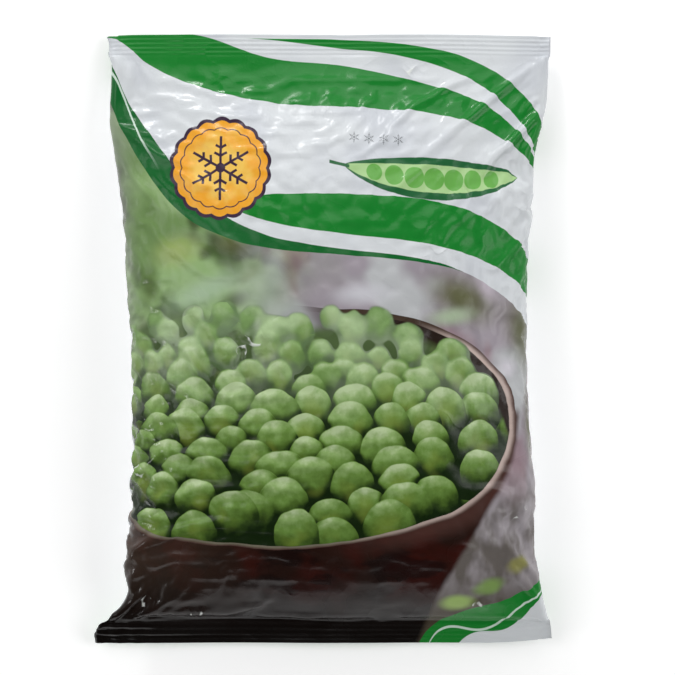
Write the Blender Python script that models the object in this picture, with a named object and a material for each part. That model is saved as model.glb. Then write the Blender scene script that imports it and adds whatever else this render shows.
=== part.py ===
"""A filled pillow bag of frozen garden vegetables, lying on its back.

A pillow bag is one tube of printed film: its two ends are pressed flat into crimped
seals, and its long joint is a fin seal that lies along the middle of the back. The film
has the same girth all the way along, so where the filling makes the bag deep it pulls
the sides in, and the flat seals stand out beyond the body as small ears.

The bag is lofted from closed sections. Each section is a crown over a flatter belly,
and four named profiles along the bag say how wide, deep and high it is there.

Metres, +Z up, +Y towards the top seal. The origin is under the middle of the bag, on
the plane that it lies on.
"""

import bmesh
import bpy
import numpy as np

# ---------------------------------------------------------------- driving dimensions
BAG_LENGTH = 0.278  # outer edge of the bottom seal to outer edge of the top seal
BAG_WIDTH = 0.2068  # over the ears of the bottom seal
BAG_DEPTH = 0.056  # floor to the highest part of the crown
SEAL_THICKNESS = 0.0008  # two layers of film, pressed together
SEAL_LENGTH = 0.0105  # of each end seal, along the bag
FIN_WIDTH = 0.012  # the long joint, folded flat against the back
FIN_THICKNESS = 0.0009
FIN_PLACE = 0.012  # middle of the fin, to one side of the bag's middle line

# ---------------------------------------------------------------- how finely it is made
ROW_SPACING = 0.0052  # between sections of the body
SEAL_ROWS = 4  # sections in each end seal
SIDE_STEPS = 26  # steps across a section, closest together at the two sides
STEP_RISE = 0.0012  # width of the slope at each side of the fin

HALF_LENGTH = BAG_LENGTH / 2
HALF_WIDTH = BAG_WIDTH / 2
BOTTOM_END = -HALF_LENGTH
TOP_END = HALF_LENGTH
BODY_START = BOTTOM_END + SEAL_LENGTH
BODY_END = TOP_END - SEAL_LENGTH - 0.002

# ---------------------------------------------------------------- profiles along the bag
# Each profile is a list of (place along the bag, value), joined by a smooth curve. Places
# are shares of the half length, from -1 at the bottom edge to 1 at the top edge.

# Sides of the outline, as shares of the half width. The left side has the ear of the
# bottom seal and a slack shoulder, and the right side has two pinches.
LEFT_SIDE = [
    (-1.0, -0.995), (-0.965, -1.0), (-0.94, -0.905), (-0.91, -0.850), (-0.84, -0.874),
    (-0.70, -0.866), (-0.52, -0.842), (-0.20, -0.836), (0.05, -0.850), (0.32, -0.875),
    (0.52, -0.905), (0.66, -0.942), (0.76, -0.955), (0.88, -0.935), (1.0, -0.915),
]
RIGHT_SIDE = [
    (-1.0, 1.0), (-0.93, 0.995), (-0.83, 0.965), (-0.74, 0.938), (-0.67, 0.915),
    (-0.54, 0.935), (-0.36, 0.917), (-0.10, 0.893), (0.12, 0.893), (0.33, 0.900),
    (0.47, 0.924), (0.58, 0.908), (0.68, 0.950), (0.76, 0.988), (1.0, 0.992),
]

# Height of the widest line of each section above the floor, as a share of the depth.
EQUATOR = [
    (-1.0, 0.10), (-0.925, 0.215), (-0.80, 0.335), (-0.60, 0.410), (-0.30, 0.440),
    (0.00, 0.425), (0.35, 0.360), (0.65, 0.270), (0.82, 0.200), (0.91, 0.165),
    (1.0, 0.115),
]

# Rise of the crown above the equator, and drop of the belly below it, as shares of the
# depth. Both close on the seals. The belly reaches past the floor, which flattens it.
CROWN = [
    (-0.925, 0.0), (-0.89, 0.120), (-0.82, 0.275), (-0.72, 0.400), (-0.58, 0.490),
    (-0.30, 0.560), (-0.02, 0.540), (0.28, 0.455), (0.50, 0.350), (0.68, 0.225),
    (0.80, 0.105), (0.88, 0.030), (0.91, 0.0),
]
BELLY = [
    (-0.925, 0.0), (-0.89, 0.090), (-0.82, 0.215), (-0.72, 0.350), (-0.58, 0.450),
    (-0.30, 0.490), (0.00, 0.475), (0.28, 0.405), (0.50, 0.300), (0.68, 0.185),
    (0.80, 0.085), (0.88, 0.022), (0.91, 0.0),
]

CROWN_ROUNDING = 2.25  # exponent of the crown's section: 2 is an ellipse, more is fuller
BELLY_ROUNDING = 3.0

# Long folds where slack film gathers. Each runs from a start towards an end, both as
# shares (across, along) of the half width and half length, and sinks by its depth.
# face: 1 sinks the crown, -1 lifts the belly.
FOLDS = [
    # start            end              face  width   depth
    ((-0.92, 0.84), (-0.35, 0.46), 1, 0.0065, 0.0026),
    ((0.93, 0.82), (0.42, 0.40), 1, 0.0070, 0.0030),
    ((-0.30, 0.88), (-0.12, 0.62), 1, 0.0060, 0.0016),
    ((0.34, 0.89), (0.22, 0.60), 1, 0.0060, 0.0018),
    ((0.92, 0.56), (0.55, 0.50), 1, 0.0055, 0.0028),
    ((-0.88, -0.12), (-0.62, -0.20), 1, 0.0060, 0.0024),
    ((0.90, -0.64), (0.62, -0.50), 1, 0.0058, 0.0030),
    ((-0.86, -0.90), (-0.60, -0.66), 1, 0.0060, 0.0026),
    ((0.90, -0.88), (0.70, -0.70), 1, 0.0055, 0.0024),
    ((-0.25, -0.92), (-0.18, -0.76), 1, 0.0060, 0.0016),
    ((0.30, -0.92), (0.26, -0.78), 1, 0.0060, 0.0016),
    ((-0.85, 0.86), (-0.40, 0.58), -1, 0.0070, 0.0022),
    ((0.88, 0.86), (0.45, 0.60), -1, 0.0070, 0.0022),
    ((-0.82, -0.90), (-0.55, -0.72), -1, 0.0065, 0.0022),
    ((0.86, -0.90), (0.60, -0.74), -1, 0.0065, 0.0022),
]

# Slow waves that keep the pressed seals from being ruler-flat.
SEAL_WAVE = 0.0011  # height
SEAL_WAVES_ACROSS = 2.3


def curve_through(points, places):
    """Values at the places of a smooth curve through the points (a Catmull-Rom spline)."""
    at, value = np.array(points, float).T
    slope = np.gradient(value, at)
    i = np.clip(np.searchsorted(at, places, side="right") - 1, 0, len(at) - 2)
    gap = at[i + 1] - at[i]
    t = np.clip((places - at[i]) / gap, 0.0, 1.0)
    start = (1 + 2 * t) * (1 - t) ** 2 * value[i] + t * (1 - t) ** 2 * gap * slope[i]
    end = t**2 * (3 - 2 * t) * value[i + 1] + t**2 * (t - 1) * gap * slope[i + 1]
    return start + end


def stations():
    """Places of the sections along the bag, in metres, with the seals' own rows."""
    bottom_seal = np.linspace(BOTTOM_END, BODY_START, SEAL_ROWS)
    top_seal = np.linspace(BODY_END, TOP_END, SEAL_ROWS)
    body_rows = round((BODY_END - BODY_START) / ROW_SPACING)
    body = np.linspace(BODY_START, BODY_END, body_rows + 1)[1:-1]
    return np.concatenate([bottom_seal, body, top_seal])


def steps_across():
    """Places across a section, from -1 at the left side to 1 at the right side.

    They follow a cosine, so the round sides get short steps, and the places where the
    fin begins and ends are added.
    """
    even = -np.cos(np.linspace(0, np.pi, SIDE_STEPS + 1))
    half_fin = FIN_WIDTH / 2
    edges = [-half_fin - STEP_RISE, -half_fin, half_fin, half_fin + STEP_RISE]
    fin = [(FIN_PLACE + edge) / (0.9 * HALF_WIDTH) for edge in edges]
    clear_of_fin = [t for t in even if not fin[0] - 0.02 < t < fin[-1] + 0.02]
    return np.array(sorted(clear_of_fin + fin))


def fold_depth(x, y, face):
    """How far the folds of one face sink the film at the places x, y."""
    total = np.zeros(np.broadcast(x, y).shape)
    size = np.array([HALF_WIDTH, HALF_LENGTH])
    for start, end, fold_face, width, depth in FOLDS:
        if fold_face != face:
            continue
        a, b = np.array(start) * size, np.array(end) * size
        run = b - a
        along = ((x - a[0]) * run[0] + (y - a[1]) * run[1]) / run.dot(run)
        nearest = np.clip(along, 0.0, 1.0)
        away = np.hypot(x - a[0] - nearest * run[0], y - a[1] - nearest * run[1])
        fading = 1.0 - nearest**2
        total += depth * fading * np.exp(-((away / width) ** 2))
    return total


def sections():
    """The bag's sections as three arrays, (row, step): x, and z of the crown and belly."""
    y = stations()[:, None]
    share = y / HALF_LENGTH
    t = steps_across()[None, :]
    left = np.clip(curve_through(LEFT_SIDE, share), -1, 1) * HALF_WIDTH
    right = np.clip(curve_through(RIGHT_SIDE, share), -1, 1) * HALF_WIDTH
    x = (left + right) / 2 + t * (right - left) / 2

    wave = SEAL_WAVE * np.sin(SEAL_WAVES_ACROSS * np.pi * t + 5 * share)
    flatness = np.clip((np.abs(share) - 0.7) / 0.25, 0, 1)
    equator = curve_through(EQUATOR, share) * BAG_DEPTH + wave * flatness
    rise = np.maximum(curve_through(CROWN, share) * BAG_DEPTH, SEAL_THICKNESS / 2)
    drop = np.maximum(curve_through(BELLY, share) * BAG_DEPTH, SEAL_THICKNESS / 2)
    crown_shape = (1 - np.abs(t) ** CROWN_ROUNDING) ** (1 / CROWN_ROUNDING)
    belly_shape = (1 - np.abs(t) ** BELLY_ROUNDING) ** (1 / BELLY_ROUNDING)

    # A fold can't sink the film deeper than the filling behind it.
    crown_fold = np.minimum(fold_depth(x, y, 1), 0.35 * rise * crown_shape)
    belly_fold = np.minimum(fold_depth(x, y, -1), 0.35 * drop * belly_shape)
    crown = equator + rise * crown_shape - crown_fold
    belly = equator - drop * belly_shape + belly_fold

    # The fin stands off the back, and the floor presses the belly and the fin flat.
    from_fin = np.abs(x - FIN_PLACE) - FIN_WIDTH / 2
    fin = FIN_THICKNESS * np.clip(1 - from_fin / STEP_RISE, 0, 1)
    belly = np.maximum(belly - fin, 0.0)
    to_depth = BAG_DEPTH / crown.max()
    return x, y + 0 * x, crown * to_depth, belly * to_depth


def close_end(bm, crown_row, belly_row, outwards):
    """Closes the open end of the loft between its crown points and its belly points."""
    last = len(crown_row) - 1
    for i in range(last):
        corners = [crown_row[i], crown_row[i + 1], belly_row[i + 1], belly_row[i]]
        single = list(dict.fromkeys(corners))
        bm.faces.new(single if outwards else single[::-1])


def make_bag(material):
    """Lofts the sections into one closed solid, and seats it on the floor."""
    x, y, crown, belly = sections()
    x = x - (x.min() + x.max()) / 2
    y = y - (y.min() + y.max()) / 2
    rows, steps = x.shape

    bm = bmesh.new()
    crown_points = []
    belly_points = []
    for r in range(rows):
        upper = [bm.verts.new((x[r, s], y[r, s], crown[r, s])) for s in range(steps)]
        inner = [bm.verts.new((x[r, s], y[r, s], belly[r, s])) for s in range(1, steps - 1)]
        crown_points.append(upper)
        belly_points.append([upper[0], *inner, upper[-1]])
    for r in range(rows - 1):
        for s in range(steps - 1):
            a, b = crown_points[r], crown_points[r + 1]
            bm.faces.new((a[s], a[s + 1], b[s + 1], b[s]))
            a, b = belly_points[r], belly_points[r + 1]
            bm.faces.new((a[s], b[s], b[s + 1], a[s + 1]))
    close_end(bm, crown_points[0], belly_points[0], outwards=False)
    close_end(bm, crown_points[-1], belly_points[-1], outwards=True)
    bmesh.ops.recalc_face_normals(bm, faces=bm.faces)

    mesh = bpy.data.meshes.new("bag")
    bm.to_mesh(mesh)
    bm.free()
    mesh.materials.append(material)
    mesh.shade_smooth()
    mesh.set_sharp_from_angle(angle=np.radians(50))
    bag = bpy.data.objects.new("bag", mesh)
    bpy.context.scene.collection.objects.link(bag)
    return bag


def film_material():
    """Printed polyethylene film: a smooth plastic with a mid-green overall colour."""
    material = bpy.data.materials.new("printed_film")
    material.use_nodes = True
    shader = material.node_tree.nodes["Principled BSDF"]
    shader.inputs["Base Color"].default_value = (0.18, 0.32, 0.13, 1.0)
    shader.inputs["Roughness"].default_value = 0.32
    shader.inputs["Metallic"].default_value = 0.0
    return material


def main():
    for thing in list(bpy.data.objects):
        bpy.data.objects.remove(thing)
    bag = make_bag(film_material())
    print(f"{bag.name}: {len(bag.data.polygons)} faces")


main()
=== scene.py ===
# %% [markdown]
# # A frozen pea bag
#
# A pillow bag is one tube of printed film, pressed flat and welded at its two ends. This
# lesson dresses a plain measured solid as that bag. First a grid of points is laid round the
# solid, then the grid is let go so that it wrinkles like film, then the print is drawn on it
# with nodes, and last come the floor, the lights and the camera.

# %% Load the measured solid
import math

import bpy
import numpy as np
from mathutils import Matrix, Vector
from mathutils.bvhtree import BVHTree


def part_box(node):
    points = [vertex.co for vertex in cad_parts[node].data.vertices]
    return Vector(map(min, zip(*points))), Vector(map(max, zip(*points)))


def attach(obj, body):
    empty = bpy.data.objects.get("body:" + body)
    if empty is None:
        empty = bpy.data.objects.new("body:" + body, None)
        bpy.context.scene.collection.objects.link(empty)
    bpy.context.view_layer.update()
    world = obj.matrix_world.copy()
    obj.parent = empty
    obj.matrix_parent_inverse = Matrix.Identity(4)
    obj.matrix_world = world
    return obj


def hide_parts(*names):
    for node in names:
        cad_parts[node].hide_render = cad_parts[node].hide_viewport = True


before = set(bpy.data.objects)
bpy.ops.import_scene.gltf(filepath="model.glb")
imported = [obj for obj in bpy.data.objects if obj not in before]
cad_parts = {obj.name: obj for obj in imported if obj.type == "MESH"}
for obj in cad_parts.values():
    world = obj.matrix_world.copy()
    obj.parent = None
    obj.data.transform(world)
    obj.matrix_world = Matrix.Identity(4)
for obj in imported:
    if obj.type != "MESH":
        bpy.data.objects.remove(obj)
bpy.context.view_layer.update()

low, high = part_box("bag")
HALF_LENGTH = (high.y - low.y) / 2
PANEL_WIDTH = high.x - low.x  # the bag pressed flat, from fold to fold
HALF_PANEL = PANEL_WIDTH / 2
GIRTH = 2 * PANEL_WIDTH  # the film goes once round
SEAL_LENGTH = 0.0105  # each pressed end
SEAL_START = HALF_LENGTH - SEAL_LENGTH
print(f"solid {PANEL_WIDTH:.4f} x {2 * HALF_LENGTH:.4f} x {high.z:.4f} m")

# %% [markdown]
# ## Feeling the solid's surface
#
# The film has to lie where the solid's skin is. A BVH tree answers the question "where does
# this ray hit?" very fast, so the skin is felt with rays: straight down for the front, and
# straight up for the back. The sides are found by halving a step eighteen times, which is as
# exact as needed and works on the thin seals too.

# %% Rays onto the solid
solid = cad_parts["bag"]
skin = BVHTree.FromObject(solid, bpy.context.evaluated_depsgraph_get())
WELL_OUTSIDE = 0.2


def skin_height(x, y, side):
    """Height of the front (side 1) or the back (side -1) at x, y, or None beside the bag."""
    start = Vector((x, y, side * WELL_OUTSIDE))
    hit, *_ = skin.ray_cast(start, Vector((0, 0, -side)))
    return None if hit is None else hit.z


def side_edge(y, side):
    """x of the bag's left (side -1) or right (side 1) outline in the row at y."""
    inside, outside = 0.0, side * (HALF_PANEL + 0.02)
    for _ in range(18):
        middle = (inside + outside) / 2
        if skin_height(middle, y, 1) is None:
            outside = middle
        else:
            inside = middle
    return inside


def cross_section(y, steps=80):
    """The front's line and the back's line across the row at y, both from left to right."""
    left, right = side_edge(y, -1), side_edge(y, 1)
    share = (1 - np.cos(np.linspace(0, math.pi, steps + 1))) / 2  # short steps at the sides
    share[0], share[-1] = 1e-5, 1 - 1e-5
    across = left + (right - left) * share
    front = np.array([(x, skin_height(x, y, 1)) for x in across])
    back = np.array([(x, skin_height(x, y, -1)) for x in across])
    for end in (0, -1):
        front[end, 1] = back[end, 1] = (front[end, 1] + back[end, 1]) / 2
    return front, back


def share_out(line, shares):
    """Points at these shares of a line's length, from 0 at its start to 1 at its end."""
    gaps = np.hypot(*np.diff(line, axis=0).T)
    at = np.concatenate([[0], np.cumsum(gaps)])
    at /= at[-1]
    return np.stack([np.interp(shares, at, line[:, i]) for i in (0, 1)], axis=1)


front, back = cross_section(0.0)
print(f"middle row: {len(front)} points, {front[:, 1].max():.4f} m high")

# %% [markdown]
# ## A grid of film
#
# Film is a rectangle before it becomes a bag, so the grid is a rectangle too: rows along the
# bag and columns round it. A column's place is its distance from the middle of the printed
# front, so the folds at the two sides are half a panel away. The film's own edges meet on the
# back, a little to one side, and that is where the grid starts and ends.
#
# The grid comes in three finenesses. Large folds form on the coarse one, and each finer one
# only adds what the one before couldn't hold. That is far quicker than starting fine.

# %% Lay the grid round the solid
COARSE_ACROSS = 40  # columns on one panel
COARSE_BODY = 50  # rows between the seals
COARSE_SEAL = 3  # rows in each seal
COARSE_FIN = 2  # columns from the back's middle to the long joint
EDGE_IN = 0.0002  # the outermost rows stay just inside the solid's ends
HAIR = 1e-6  # less than any real size, for comparing measures


def lay_film(level):
    """Rows' y, columns' places and the grid of points round the solid, for a fineness."""
    finer = 2**level
    body = np.linspace(-SEAL_START, SEAL_START, COARSE_BODY * finer + 1)
    seal = np.linspace(-HALF_LENGTH + EDGE_IN, -SEAL_START, COARSE_SEAL * finer + 1)[:-1]
    rows = np.concatenate([seal, body, -seal[::-1]])
    step = PANEL_WIDTH / (COARSE_ACROSS * finer)
    places = (np.arange(2 * COARSE_ACROSS * finer) - COARSE_FIN * finer) * step - PANEL_WIDTH

    on_front = np.abs(places) <= HALF_PANEL + HAIR
    front_share = (places[on_front] + HALF_PANEL) / PANEL_WIDTH
    behind = places[~on_front]
    past_fold = (np.abs(behind) - HALF_PANEL) / PANEL_WIDTH
    back_share = np.where(behind < 0, past_fold, 1 - past_fold)

    points = np.zeros((len(rows), len(places), 3))
    for row, y in enumerate(rows):
        front, back = cross_section(y)
        points[row, on_front] = np.insert(share_out(front, front_share), 1, y, axis=1)
        points[row, ~on_front] = np.insert(share_out(back, back_share), 1, y, axis=1)
    return rows, places, points


rows, places, laid = lay_film(0)
print(f"coarse grid: {laid.shape[0]} rows of {laid.shape[1]} points")


# %% [markdown]
# ## Which way is out
#
# A point's normal is the cross product of the directions to its neighbours round the bag and
# along it. The film is pushed out and pulled in along these.

# %% Normals and smoothing on a grid
def outward(points):
    """Unit normals of a grid that is closed round the bag and open at its ends."""
    around = np.roll(points, -1, 1) - np.roll(points, 1, 1)
    along = np.gradient(points, axis=0)
    normal = np.cross(around, along)
    return normal / np.linalg.norm(normal, axis=-1, keepdims=True)


def smoothed(field, times):
    """A field on the grid with each value averaged with its neighbours, several times."""
    for _ in range(times):
        field = (np.roll(field, 1, 1) + np.roll(field, -1, 1) + 2 * field) / 4
        inner = (field[:-2] + field[2:] + 2 * field[1:-1]) / 4
        field = np.concatenate([field[:1], inner, field[-1:]])
    return field


def doubled(points):
    """The same surface on a grid twice as fine, with new points on smooth curves."""
    between = (9 * (points + np.roll(points, -1, 1)) - np.roll(points, 1, 1)
               - np.roll(points, -2, 1)) / 16
    wide = np.stack([points, between], axis=2).reshape(len(points), -1, 3)
    middle = (wide[:-1] + wide[1:]) / 2
    middle[1:-1] = (9 * (wide[1:-2] + wide[2:-1]) - wide[:-3] - wide[3:]) / 16
    tall = np.empty((2 * len(wide) - 1, *wide.shape[1:]))
    tall[0::2], tall[1::2] = wide, middle
    return tall


print(f"twice as fine: {doubled(laid).shape[:2]} points")

# %% [markdown]
# ## What fills the bag
#
# The film rests on frozen peas. Each is a small cap on the surface, and the caps stand on a
# shaken hexagonal pattern, as loose balls do when they settle. Some sit deeper than others.
# There are none in the seals, and they flatten out just before them.

# %% Peas under the film
PEA_PITCH = 0.0092
PEA_RADIUS = 0.0046  # of the part of a pea that the film can feel
PEA_RISE = 0.00046
PEA_SHAKE = 0.48  # how far a pea may be from its place in the pattern, in pitches
DEEPEST_PEA = 1.1  # in squared radii, so that a deep pea's cap is small
FLATTEST_GAP = -0.5  # of PEA_RISE, where the film spans between peas
NO_PEA = 9.0  # more than any distance that counts
FREE_OF_PEAS = 0.022  # over this length before a seal the peas flatten out


def pea_relief(rows, places):
    """How far the contents stand out under each point of the grid."""
    rng = np.random.default_rng(11)
    across = round(GIRTH / PEA_PITCH)
    pitch, row_pitch = GIRTH / across, PEA_PITCH * math.sqrt(0.75)
    down = int(2 * HALF_LENGTH / row_pitch) + 4
    shake = rng.uniform(-PEA_SHAKE, PEA_SHAKE, (2, down, across))
    sunk = rng.uniform(0.0, DEEPEST_PEA, (down, across)) ** 1.5
    column, line = np.meshgrid((places - places[0]) / pitch, (rows + HALF_LENGTH) / row_pitch + 1)
    lowest = np.full(column.shape, NO_PEA)
    for line_step in (-1, 0, 1, 2):
        own_line = np.clip(np.floor(line).astype(int) + line_step, 0, down - 1)
        offset = 0.5 * (own_line % 2)
        for column_step in (-1, 0, 1, 2):
            own_column = np.floor(column - offset).astype(int) + column_step
            wrapped = own_column % across
            dx = (column - offset - own_column - shake[0, own_line, wrapped]) * pitch
            dy = (line - own_line - shake[1, own_line, wrapped]) * row_pitch
            away = (dx**2 + dy**2) / PEA_RADIUS**2 + sunk[own_line, wrapped]
            lowest = np.minimum(lowest, away)
    near_seal = np.clip((SEAL_START - np.abs(rows)) / FREE_OF_PEAS, 0, 1)[:, None]
    return PEA_RISE * near_seal * np.maximum(1 - lowest, FLATTEST_GAP)


print(f"peas stand out by up to {1000 * pea_relief(rows, places).max():.2f} mm")

# %% [markdown]
# ## Where the film is slack
#
# Film hardly stretches. It was cut with the same length everywhere and the same girth
# everywhere, but the filled shape needs its full girth only at the fattest row and its full
# length only over the crown. What is left over becomes wrinkles. It isn't spread evenly:
# handling pulls some places tight and leaves others loose, and here a few soft waves, added
# together, say which are which.
#
# Where a hand has pinched a bag, a small star of creases is left. The film there has become
# longer round the pinched spot but not outwards from it, and so it can only fold into rays.

# %% Rest lengths of the film
FLAT_LENGTH = 0.291  # of the film between the bag's two outer edges, before filling
SLACK_WAVES, SLACK_WAVE_LENGTH = 14, 0.16
LOOSEST = 1.2  # of the film left over, where nothing pulls it tight
TIGHT_FOOT = [(-0.118, -0.080), (0.30, 1.0)]  # the contents pull the lower end tight
PINCHES = [  # place, row and reach in mm, and the share by which the film is longer there
    (-36, -4, 11, 0.12), (52, 40, 9, 0.08), (-4, 104, 10, 0.05), (36, 120, 9, 0.05),
    (86, -74, 12, 0.12), (30, -70, 9, 0.06), (94, 62, 10, 0.10), (-90, 22, 12, 0.08),
    (-88, -108, 14, 0.10), (78, -106, 14, 0.10), (-90, -60, 12, 0.10),
    (-120, -60, 14, 0.12), (150, 40, 14, 0.12), (-170, 70, 14, 0.12),
]


def looseness(rows, places):
    """A soft random field over the film, from 0 where it is pulled tight to 1."""
    rng = np.random.default_rng(3)
    place, row = np.meshgrid(places, rows)
    field = np.zeros(place.shape)
    for _ in range(SLACK_WAVES):
        along, around = rng.normal(size=2) * (2 * math.pi / SLACK_WAVE_LENGTH)
        turns = round(around * GIRTH / (2 * math.pi))  # whole waves, so that they join up
        phase = rng.uniform(0, 2 * math.pi)
        field += np.cos(turns * 2 * math.pi * place / GIRTH + along * row + phase)
    return 1 / (1 + np.exp(-1.6 * field / field.std()))


def pinched(rows, places, step_across, step_along):
    """How many times longer links in this direction are, at each point of the grid."""
    place, row = np.meshgrid(1000 * places, 1000 * rows)
    turned_step = np.hypot(step_across, step_along)
    longer = np.zeros(place.shape)
    for spot_place, spot_row, reach, most in PINCHES:
        dx, dy = place - spot_place, row - spot_row
        away = np.hypot(dx, dy) + 0.5
        round_spot = (step_along * dx - step_across * dy) / (away * turned_step)
        grown = most * np.exp(-((away / reach) ** 2))
        longer += ((1 + grown) ** 2 - 1) * round_spot**2
    return np.sqrt(1 + longer)


def rest_lengths(rows, places, laid):
    """Lengths that the film wants between neighbours: round the bag, and along it."""
    around = np.linalg.norm(np.roll(laid, -1, 1) - laid, axis=-1)
    along = np.linalg.norm(np.diff(laid, axis=0), axis=-1)
    loose = LOOSEST * looseness(rows, places) * np.interp(rows, *TIGHT_FOOT)[:, None]
    longer = (FLAT_LENGTH - 2 * SEAL_LENGTH) / (2 * SEAL_START)
    middle_y = (rows[1:] + rows[:-1]) / 2
    cut_along = np.diff(rows) * np.where(np.abs(middle_y) < SEAL_START, longer, 1.0)
    cut_around = places[1] - places[0]
    spare_around = np.maximum(cut_around - around, 0)
    spare_along = np.maximum(cut_along[:, None] - along, 0)
    between_rows = (loose[1:] + loose[:-1]) / 2
    return around + spare_around * loose, along + spare_along * between_rows


rest_around, rest_along = rest_lengths(rows, places, laid)
print(f"film round the bag: up to {rest_around.sum(1).max():.4f} m")


# %% [markdown]
# ## Letting the film settle
#
# Blender's Cloth could do this, but a short solver of its own keeps the welds, the table and
# the contents in one loop, and folds the film in the same way each time. It is the idea
# called position based dynamics: neighbours that are too close are moved apart, and
# neighbours that are too far apart are moved together, again and again. Links along the grid
# keep the film's lengths, diagonal links keep it from shearing, and links that skip a point
# keep it from creasing more sharply than film of this thickness would.
#
# Pairs that share a point can't be moved at the same time. So each kind of link is split
# into two sets in which no two pairs share a point, and numpy moves a whole set at once.

# %% Links between points of the film
def link(shape, down, across):
    """Two sets of (first, second) points that are this many rows and columns apart."""
    number = np.arange(shape[0] * shape[1]).reshape(shape)
    first = number[: shape[0] - down]
    second = np.roll(number, -across, 1)[down:]
    row, column = np.indices(first.shape)
    odd = (row // down if down else column // abs(across)) % 2 == 1
    return [(first[part], second[part]) for part in (~odd, odd)]


def film_links(rows, places, laid, sharpest):
    """All links as (first, second, shortest, longest, strength)."""
    rest_around, rest_along = rest_lengths(rows, places, laid)
    shape = rest_around.shape
    diagonal = np.sqrt(rest_around[:-1] ** 2 + rest_along**2)
    rising = diagonal * pinched(rows, places, 1, 1)[:-1]
    falling = diagonal * pinched(rows, places, -1, 1)[:-1]
    rest_around = rest_around * pinched(rows, places, 1, 0)
    rest_along = rest_along * pinched(rows, places, 0, 1)[:-1]
    kinds = [(0, 1, rest_around, 1, 1, 1.0), (1, 0, rest_along, 1, 1, 1.0),
             (1, 1, rising, 0.995, 1.005, 0.5), (1, -1, falling, 0.995, 1.005, 0.5)]
    for skip, straight in sharpest:
        kinds.append((0, skip, skip * rest_around, straight, 2, 0.5))
        kinds.append((skip, 0, skip * rest_along[: shape[0] - skip], straight, 2, 0.5))
    links = []
    for down, across, rest, least, most, strength in kinds:
        for first, second in link(shape, down, across):
            own = rest.ravel()[first]
            links.append((first, second, own * least, own * most, strength))
    return links


def pull(points, weight, first, second, shortest, longest, strength):
    """Moves each pair towards a length between its shortest and its longest."""
    gap = points[second] - points[first]
    length = np.sqrt((gap * gap).sum(1))
    wanted = np.clip(length, shortest, longest)
    give = weight[first] + weight[second]
    move = (strength * (length - wanted) / (length * give))[:, None] * gap
    points[first] += weight[first, None] * move
    points[second] -= weight[second, None] * move


print(f"{sum(len(pairs) for pairs, *_ in film_links(rows, places, laid, []))} links on the coarse grid")

# %% [markdown]
# Between the pulls, the film is kept off the contents, and drawn a little towards them,
# because a frozen bag holds hardly any air. It never sinks into the table. In the seals the
# front and the back are one sheet, so each point shares its place with the one behind it.

# %% Settle a grid
SEAL_GAP = 0.0005  # between the outer faces of the two welded layers
UNDER_FILM = 0.0008  # how far the contents lie inside the solid's skin
SEAL_SHIFT = 0.0012  # how far the film's pull may move the welded ends along the bag
NEAR_WELD = 0.010  # in these rows the front is also kept above the back
STIFF_END = 0.004  # the film is harder to move this near to its ends
END_WEIGHT = 0.25  # how much it moves at the very end, against 1 elsewhere
FIN_WIDTH, FIN_MARGIN = 0.012, 0.0005
FIN_LIFT = 0.0008  # room for the folded joint under the back


def under_fin(places):
    """True for the columns that the folded long joint covers."""
    from_seam = np.minimum(np.abs(places - places[0]), np.abs(places - places[0] - GIRTH))
    return from_seam <= FIN_WIDTH / 2 + FIN_MARGIN


def column_behind(column, across):
    """The column on the other panel that is as far from the side fold as this one."""
    fin = COARSE_FIN * across // (2 * COARSE_ACROSS)
    return (across // 2 + 2 * fin - column) % across


def settle(points, rows, places, laid, contents, links, times, drawn_in):
    """The film after so many rounds of pulling, resting and welding."""
    shape = laid.shape[:2]
    normal = outward(laid)
    across = shape[1]
    behind = column_behind(np.arange(across), across)
    from_fold = HALF_PANEL - np.abs(places)
    layer = np.sign(from_fold) * (np.abs(from_fold) > HAIR)  # 1 in front, -1 behind
    welded = np.abs(rows) > SEAL_START + HAIR
    near_weld = ~welded & (np.abs(rows) > SEAL_START - NEAR_WELD)
    table = np.where(under_fin(places), FIN_LIFT, 0.0)
    free = np.clip((HALF_LENGTH - np.abs(rows)) / STIFF_END, 0, 1)
    weight = np.repeat(END_WEIGHT + (1 - END_WEIGHT) * free, across)
    flat = points.reshape(-1, 3)
    for _ in range(times):
        for first, second, shortest, longest, strength in links:
            pull(flat, weight, first, second, shortest, longest, strength)
        points = flat.reshape(*shape, 3)
        height = ((points - laid) * normal).sum(-1)
        wanted = np.maximum(height, contents)
        wanted += (contents - wanted) * drawn_in
        points += ((wanted - height) * weight.reshape(shape))[..., None] * normal
        points[..., 2] = np.maximum(points[..., 2], table)
        joined = (points[welded] + points[welded][:, behind]) / 2
        joined[..., 2] += layer * SEAL_GAP / 2
        own_y = laid[welded][..., 1]
        joined[..., 1] = np.clip(joined[..., 1], own_y - SEAL_SHIFT, own_y + SEAL_SHIFT)
        points[welded] = joined
        apart = layer * (points[near_weld, :, 2] - points[near_weld][:, behind, 2])
        points[near_weld, :, 2] += layer * np.maximum(SEAL_GAP - apart, 0) / 2
        flat = points.reshape(-1, 3)
    return points


print(f"the long joint covers {under_fin(places).sum()} columns of the coarse grid")

# %% [markdown]
# Three rounds, from coarse to fine. The sharpest crease that each allows is given as pairs:
# how many points a link skips to, and how much shorter than straight it may become.

# %% Wrinkle the film
STAGES = [
    (300, [(2, 0.93)]),
    (200, [(2, 0.95), (4, 0.90)]),
    (100, [(2, 0.97), (4, 0.93)]),
]
DRAWN_IN = 0.01  # of its height over the contents, in each round
FIRST_RIPPLE = 0.0015
BEFORE_SEAL = 0.015  # over this length the film's way to the contents closes

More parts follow.
